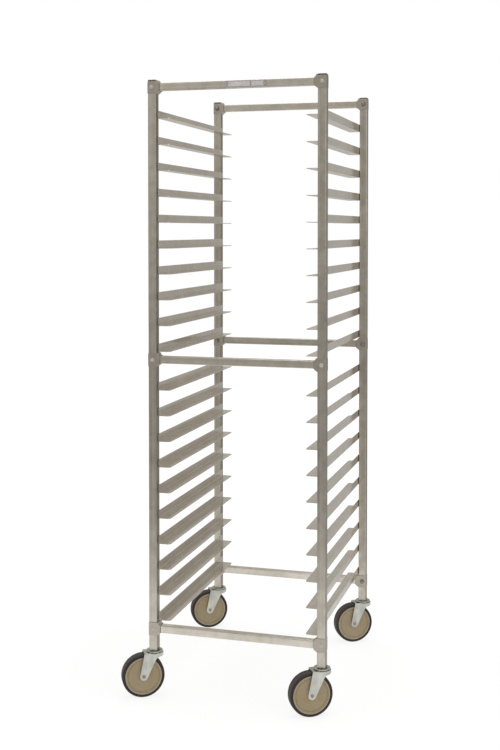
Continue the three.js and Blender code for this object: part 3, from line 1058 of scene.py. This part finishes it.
class BuildStems(bpy.types.Operator):
    """Builds the upper races and king pins in the posts' feet"""

    bl_idname = "pan_rack.stems"
    bl_label = "Caster stems"

    def execute(self, context):
        casters = context.scene.pan_rack_casters
        race, crown = casters.race_radius / MM, casters.crown_top / MM
        foot = context.scene.pan_rack_frame.post_foot / MM
        under = crown + 0.4
        profile = [(0.0, foot - 1.6), (race - 5.2, foot - 1.6), (race - 4.0, foot - 0.3)]
        profile += [(race - 1.2, foot - 0.1), (race, foot - 1.2), (race, under + 1.7)]
        profile += [(race - 1.0, under + 0.9), (race - 5.5, under), (6.0, under), (6.0, under - 3.8)]
        profile += [(9.5, under - 3.8), (9.5, under - 6.3), (8.6, under - 7.3), (3.0, under - 7.3)]
        profile += [(2.4, under - 6.0), (0.0, under - 6.0)]
        stem = sharpened(turned(rounded(profile, 0.45), 40))
        for corner in CORNERS:
            place = Matrix.Translation((*post_axis(corner), 0.0))
            piece_of(f"{corner}_caster_stem", copy_at(stem, place), "race", "frame", "post")
        bpy.data.meshes.remove(stem)
        return {"FINISHED"}


class BuildForks(bpy.types.Operator):
    """Builds the pressed forks, their race rings and riveted axles"""

    bl_idname = "pan_rack.forks"
    bl_label = "Caster forks"

    def execute(self, context):
        sizes = context.scene.pan_rack_casters
        cage, ring, axle = self.cage(sizes), self.race_ring(sizes), self.axle(sizes)
        for corner in CORNERS:
            body, node = f"{corner}_swivel", f"{corner}_fork"
            place = caster_frame(corner)
            fork = piece_of(f"{node}_shell", copy_at(cage, place), "fork", body, "fork", node)
            sheet_stack(fork, 4.0 * MM, sizes.leg_thickness, 0.45 * MM)
            piece_of(f"{corner}_swivel_race", copy_at(ring, place), "race", body, "fork")
            piece_of(f"{corner}_axle", copy_at(axle, axle_frame(corner, sizes)), "axle", body, "fork")
        for mesh in (cage, ring, axle):
            bpy.data.meshes.remove(mesh)
        return {"FINISHED"}

    @staticmethod
    def race_ring(sizes):
        """The lower race pressed into the crown, a shallow ring about the king pin."""
        top, edge, bore = sizes.crown_top / MM, sizes.crown_radius / MM, 12.0
        profile = [(bore, top + 0.2), (edge - 4.5, top + 0.2), (edge - 1.6, top - 0.4)]
        profile += [(edge - 0.9, top - 1.4), (edge - 1.3, top - 3.2), (edge - 3.5, top - 3.6)]
        profile += [(bore, top - 3.4), (bore, top + 0.2)]
        return sharpened(turned(rounded(profile, 0.5), 40))

    @staticmethod
    def axle(sizes):
        """The axle with a riveted end on each leg."""
        face, head = sizes.leg_span / 2 / MM, sizes.axle_radius / MM
        end = [(0.0, face + 0.9), (1.5, face + 0.9), (1.9, face + 1.5), (head * 0.62, face + 1.55)]
        end += [(head * 0.9, face + 1.1), (head, face + 0.5), (head, face - 0.3), (4.7, face - 0.3)]
        return sharpened(turned(rounded(mirrored(end), 0.2), 24))

    @staticmethod
    def cage(sizes):
        """The outside faces of the pressed sheet: crown, skirt round the nose and two tapering legs.

        Each column is a line from the crown's edge down to the sheet's lower edge, in millimetres.
        """
        top, half = sizes.crown_top / MM, sizes.leg_span / 2 / MM
        nose, tail = sizes.crown_radius / MM, sizes.crown_tail / MM
        lead, eye, axle_z = sizes.lead / MM, sizes.leg_end / MM, sizes.wheel_radius / MM
        leading_x, gusset_foot, skirt_foot = -11.0, top - 24.0, top - 9.0
        skirt_drop = skirt_foot - gusset_foot

        def tangent(x, side):
            """The angle about the axle at which a straight edge from the crown meets the eye."""
            dx, dz = x - lead, top - axle_z
            return math.atan2(dz, dx) + side * math.acos(eye / math.hypot(dx, dz))

        trailing, leading = tangent(tail, -1), tangent(leading_x, 1)
        sweep = trailing - (leading - 2 * math.pi)
        leg_columns, nose_columns, rows = 12, 7, 5
        columns = []
        for i in range(leg_columns):
            t = i / (leg_columns - 1)
            angle = trailing - sweep * t
            foot = (lead + eye * math.cos(angle), half, axle_z + eye * math.sin(angle))
            columns.append(((tail + (leading_x + 2.0 - tail) * t, half, top), foot))
        edge_x, edge_z = columns[-1][1][0], columns[-1][1][2]
        lean = (edge_x - leading_x) / (top - edge_z)
        start_x = leading_x + (top - gusset_foot) * lean
        shoulder = -math.sqrt(nose**2 - half**2)
        gusset = ((0.0, 0.0), (0.16, 0.34), (0.36, 0.58), (0.62, 0.76), (1.0, 0.88))
        for t, rise in gusset:
            foot = (start_x + (shoulder - start_x) * t, half, gusset_foot + skirt_drop * rise)
            columns.append(((leading_x + (shoulder - leading_x) * t, half, top), foot))
        start = math.atan2(half, shoulder)
        for i in range(1, nose_columns):
            t = i / (nose_columns - 1)
            angle = start + (math.pi - start) * t
            x, y = nose * math.cos(angle), nose * math.sin(angle)
            columns.append(((x, y, top), (x, y, gusset_foot + skirt_drop * (0.88 + 0.12 * t))))
        columns += [tuple((x, -y, z) for x, y, z in column) for column in columns[-2::-1]]
        points, faces = [], []
        for upper, lower in columns:
            points += [Vector(upper).lerp(Vector(lower), row / rows) * MM for row in range(rows + 1)]
        stride = rows + 1
        for i in range(len(columns) - 1):
            for a in range(i * stride, i * stride + rows):
                faces.append((a, a + 1, a + 1 + stride, a + stride))
        faces.append(tuple(i * stride for i in range(len(columns))))
        mesh = mesh_of("fork", points, faces)
        recalculate(mesh)
        if mesh.polygons[len(faces) - 1].normal.z < 0:
            mesh.flip_normals()
        return mesh


class BuildWheels(bpy.types.Operator):
    """Builds the tyres, moulded cores and hub bushings"""

    bl_idname = "pan_rack.wheels"
    bl_label = "Wheels"

    def execute(self, context):
        sizes = context.scene.pan_rack_casters
        parts = (
            ("tyre", self.tyre(sizes), "tyre"),
            ("wheel_core", self.core(sizes), "core"),
            ("wheel_lips", self.lip(sizes), "lip"),
            ("wheel_bushing", self.bushing(sizes), "bolt"),
        )
        for corner in CORNERS:
            place = axle_frame(corner, sizes)
            for name, mesh, finish in parts:
                nodes = [f"{corner}_wheel"] if name == "tyre" else []
                piece_of(
                    f"{corner}_{name}", copy_at(mesh, place), finish, f"{corner}_roller", "wheel", *nodes
                )
        for _, mesh, _ in parts:
            bpy.data.meshes.remove(mesh)
        return {"FINISHED"}

    @staticmethod
    def tyre(sizes):
        """A bonded tyre with a crowned tread, round shoulders and a groove beside the core."""
        edge, inner, half = sizes.wheel_radius / MM, sizes.core_radius / MM, sizes.tread_width / 2 / MM
        upper = [(inner - 0.6, half - 1.0), (inner + 0.5, half - 0.8), (inner + 1.2, half - 0.1)]
        upper += [(inner + 3.0, half), (edge - 2.6, half - 0.4), (edge - 1.1, half - 1.4)]
        upper += [(edge - 0.4, half - 3.0), (edge - 0.1, half - 6.5), (edge, half - 11.0)]
        profile = mirrored(rounded(upper, 0.6))
        return sharpened(turned(profile + profile[:1], sizes.round_steps), 50.0)

    @staticmethod
    def core(sizes):
        """A moulded core: hub boss, dished and grooved web and a raised ring beside the tyre."""
        edge, hub, half = sizes.core_radius / MM, sizes.hub_radius / MM, sizes.tread_width / 2 / MM
        boss = sizes.hub_width / 2 / MM
        upper = [(7.2, boss - 0.6), (hub - 1.2, boss - 0.6), (hub, boss - 1.4), (hub + 1.2, half - 1.6)]
        upper += [(hub + 6.0, half - 2.6), (edge - 14.0, half - 2.2), (edge - 9.4, half - 2.0)]
        upper += [(edge - 8.8, half - 3.2), (edge - 7.6, half - 3.2), (edge - 7.0, half - 1.8)]
        upper += [(edge - 4.4, half - 1.7), (edge - 2.0, half - 1.7), (edge + 0.1, half - 2.2)]
        profile = mirrored(rounded(upper, 0.5))
        return sharpened(turned(profile + profile[:1], sizes.round_steps), 50.0)

    @staticmethod
    def lip(sizes):
        """The raised lip on each face of the core, coloured pale as a painted highlight."""
        edge, half = sizes.core_radius / MM, sizes.tread_width / 2 / MM
        profile = [(edge - 4.2, half - 2.4), (edge - 4.0, half - 1.0), (edge - 3.2, half - 0.3)]
        profile += [(edge - 1.4, half - 0.1), (edge - 0.3, half - 0.5), (edge + 0.05, half - 1.4)]
        profile += [(edge + 0.05, half - 2.4), (edge - 4.2, half - 2.4)]
        face = turned(rounded(profile, 0.3), sizes.round_steps)
        other = copy_at(face, Matrix.Rotation(math.pi, 4, "X"))
        return sharpened(joined([face, other]), 50.0)

    @staticmethod
    def bushing(sizes):
        """The steel sleeve that runs on the axle."""
        end = sizes.hub_width / 2 / MM
        profile = [(5.0, end), (7.0, end), (7.3, end - 0.4), (7.3, 0.4 - end), (7.0, -end)]
        profile += [(5.0, -end), (5.0, end)]
        return sharpened(turned(profile, 32))


class BuildStage(bpy.types.Operator):
    """Builds the pale floor, the soft studio light and the camera"""

    bl_idname = "pan_rack.stage"
    bl_label = "Stage"

    def execute(self, context):
        scene = context.scene
        scene.view_settings.view_transform = "Standard"
        self.camera(scene)
        self.floor()
        self.world(scene)
        self.lamps()
        return {"FINISHED"}

    @staticmethod
    def camera(scene):
        """The camera at the front right, a little above the middle rails."""
        data = bpy.data.cameras.new("Camera")
        data.lens, data.sensor_width = CAMERA_LENS, CAMERA_SENSOR
        data.shift_x, data.shift_y = CAMERA_SHIFT
        data.clip_end = CAMERA_REACH
        camera = linked("Camera", data)
        x, y = (sum(way) / len(CORNERS) for way in zip(*map(post_axis, CORNERS)))
        camera.location = (x + CAMERA_PLACE[0], y + CAMERA_PLACE[1], CAMERA_PLACE[2])
        camera.rotation_euler = (math.radians(CAMERA_TILT), 0.0, math.radians(CAMERA_TURN))
        scene.camera = camera

    @staticmethod
    def blank_tree(owner):
        """The empty node tree of a material or a world."""
        owner.use_nodes = True
        owner.node_tree.nodes.clear()
        return owner.node_tree

    @staticmethod
    def floor():
        """A pale floor that fades to plain white away from the rack, and shows glossy rays a painted
        reflection: dark far in front, pale round the rack and darker behind it.
        """
        points = [(a * FLOOR_SIZE, b * FLOOR_SIZE, 0) for a, b in SQUARE]
        mesh = mesh_of("studio_floor", points, [(0, 1, 2, 3)])
        floor = linked("studio_floor", mesh)
        material = bpy.data.materials.new("Studio floor")
        tree = BuildStage.blank_tree(material)
        place = tree.nodes.new("ShaderNodeTexCoord").outputs["Object"]
        path = tree.nodes.new("ShaderNodeLightPath")
        paper = mixed(tree, noise(tree, place, 30.0), *PAPER_TONES)
        matt = add(tree, "ShaderNodeBsdfDiffuse", {"Color": paper})
        along = parts_of(tree, place)[1]
        # Painted reflection tones, seen only by glossy rays.
        reflected = mixed(tree, mapped(tree, along, -2.0, -1.1), FLOOR_REFLECTION_FRONT, FLOOR_REFLECTION_MIDDLE)
        reflected = mixed(tree, mapped(tree, along, 0.4, 1.2), reflected, FLOOR_REFLECTION_BEHIND)
        seen = mixed(tree, path.outputs["Is Glossy Ray"], WHITE, reflected)
        glow = add(tree, "ShaderNodeEmission", {"Color": seen, "Strength": FLOOR_GLOW})
        distance = add(tree, "ShaderNodeVectorMath", {0: place}, operation="LENGTH").outputs["Value"]
        fade = mapped(tree, distance, 0.6, 1.6, 0.78, 1.0)
        blend = add(tree, "ShaderNodeMixShader", {0: fade, 1: matt.outputs[0], 2: glow.outputs[0]})
        add(tree, "ShaderNodeOutputMaterial", {"Surface": blend.outputs[0]})
        mesh.materials.append(material)

    @staticmethod
    def world(scene):
        """White to the eye, and a darker studio round the rack for its reflections."""
        scene.world = bpy.data.worlds.new("Studio")
        tree = BuildStage.blank_tree(scene.world)
        way = parts_of(tree, tree.nodes.new("ShaderNodeTexCoord").outputs["Generated"])
        studio = mixed(tree, mapped(tree, way[2], 0.0, 0.8), FRONT_TONE, OVERHEAD_TONE)
        backdrop = mixed(tree, mapped(tree, way[2], 0.12, 0.26), BACKDROP_LOW, BACKDROP_HIGH)
        studio = mixed(tree, mapped(tree, way[1], 0.05, 0.75), studio, backdrop)
        path = tree.nodes.new("ShaderNodeLightPath")
        diffuse = mixed(tree, path.outputs["Is Diffuse Ray"], studio, AMBIENT_TONE)
        seen = mixed(tree, path.outputs["Is Camera Ray"], diffuse, WHITE)
        back = add(tree, "ShaderNodeBackground", {"Color": seen, "Strength": 1.0})
        add(tree, "ShaderNodeOutputWorld", {"Surface": back.outputs[0]})

    @staticmethod
    def lamps():
        """Three large soft lamps: key at the upper left, fill at the right and one overhead."""
        for name, place, aim, size, power in LAMPS:
            data = bpy.data.lights.new(name, "AREA")
            data.shape = "SQUARE"
            data.size = size
            data.energy = power
            lamp = linked(name, data)
            lamp.location = place
            lamp.rotation_euler = (Vector(aim) - Vector(place)).to_track_quat("-Z", "Y").to_euler()


STEPS = (
    BuildPosts,
    BuildRunners,
    BuildWelds,
    BuildRails,
    BuildBolts,
    BuildNamePlate,
    BuildStems,
    BuildForks,
    BuildWheels,
    BuildStage,
)


class PanRackPanel(bpy.types.Panel):
    """Lists the rack's build steps and sizes"""

    bl_idname = "VIEW3D_PT_pan_rack"
    bl_label = "Sheet Pan Rack"
    bl_space_type = "VIEW_3D"
    bl_region_type = "UI"
    bl_category = "Pan Rack"

    def draw(self, context):
        for step in STEPS:
            self.layout.operator(step.bl_idname)
        scene = context.scene
        for group in (scene.pan_rack_frame, scene.pan_rack_casters, scene.pan_rack_finishes):
            box = self.layout.box()
            for name in group.bl_rna.properties.keys():
                if name not in ("name", "rna_type"):
                    box.prop(group, name)


CLASSES = (FrameSizes, CasterSizes, RackFinishes) + STEPS + (PanRackPanel,)


def register():
    """Registers the classes and hangs the property groups on the scene."""
    for item in CLASSES:
        bpy.utils.register_class(item)
    bpy.types.Scene.pan_rack_frame = PointerProperty(type=FrameSizes)
    bpy.types.Scene.pan_rack_casters = PointerProperty(type=CasterSizes)
    bpy.types.Scene.pan_rack_finishes = PointerProperty(type=RackFinishes)


def unregister():
    """Takes the property groups and classes away again."""
    del bpy.types.Scene.pan_rack_finishes
    del bpy.types.Scene.pan_rack_casters
    del bpy.types.Scene.pan_rack_frame
    for item in reversed(CLASSES):
        bpy.utils.unregister_class(item)


def main():
    """Builds the whole rack."""
    register()
    for step in STEPS:
        family, action = step.bl_idname.split(".")
        getattr(getattr(bpy.ops, family), action)()


if __name__ == "__main__":
    main()
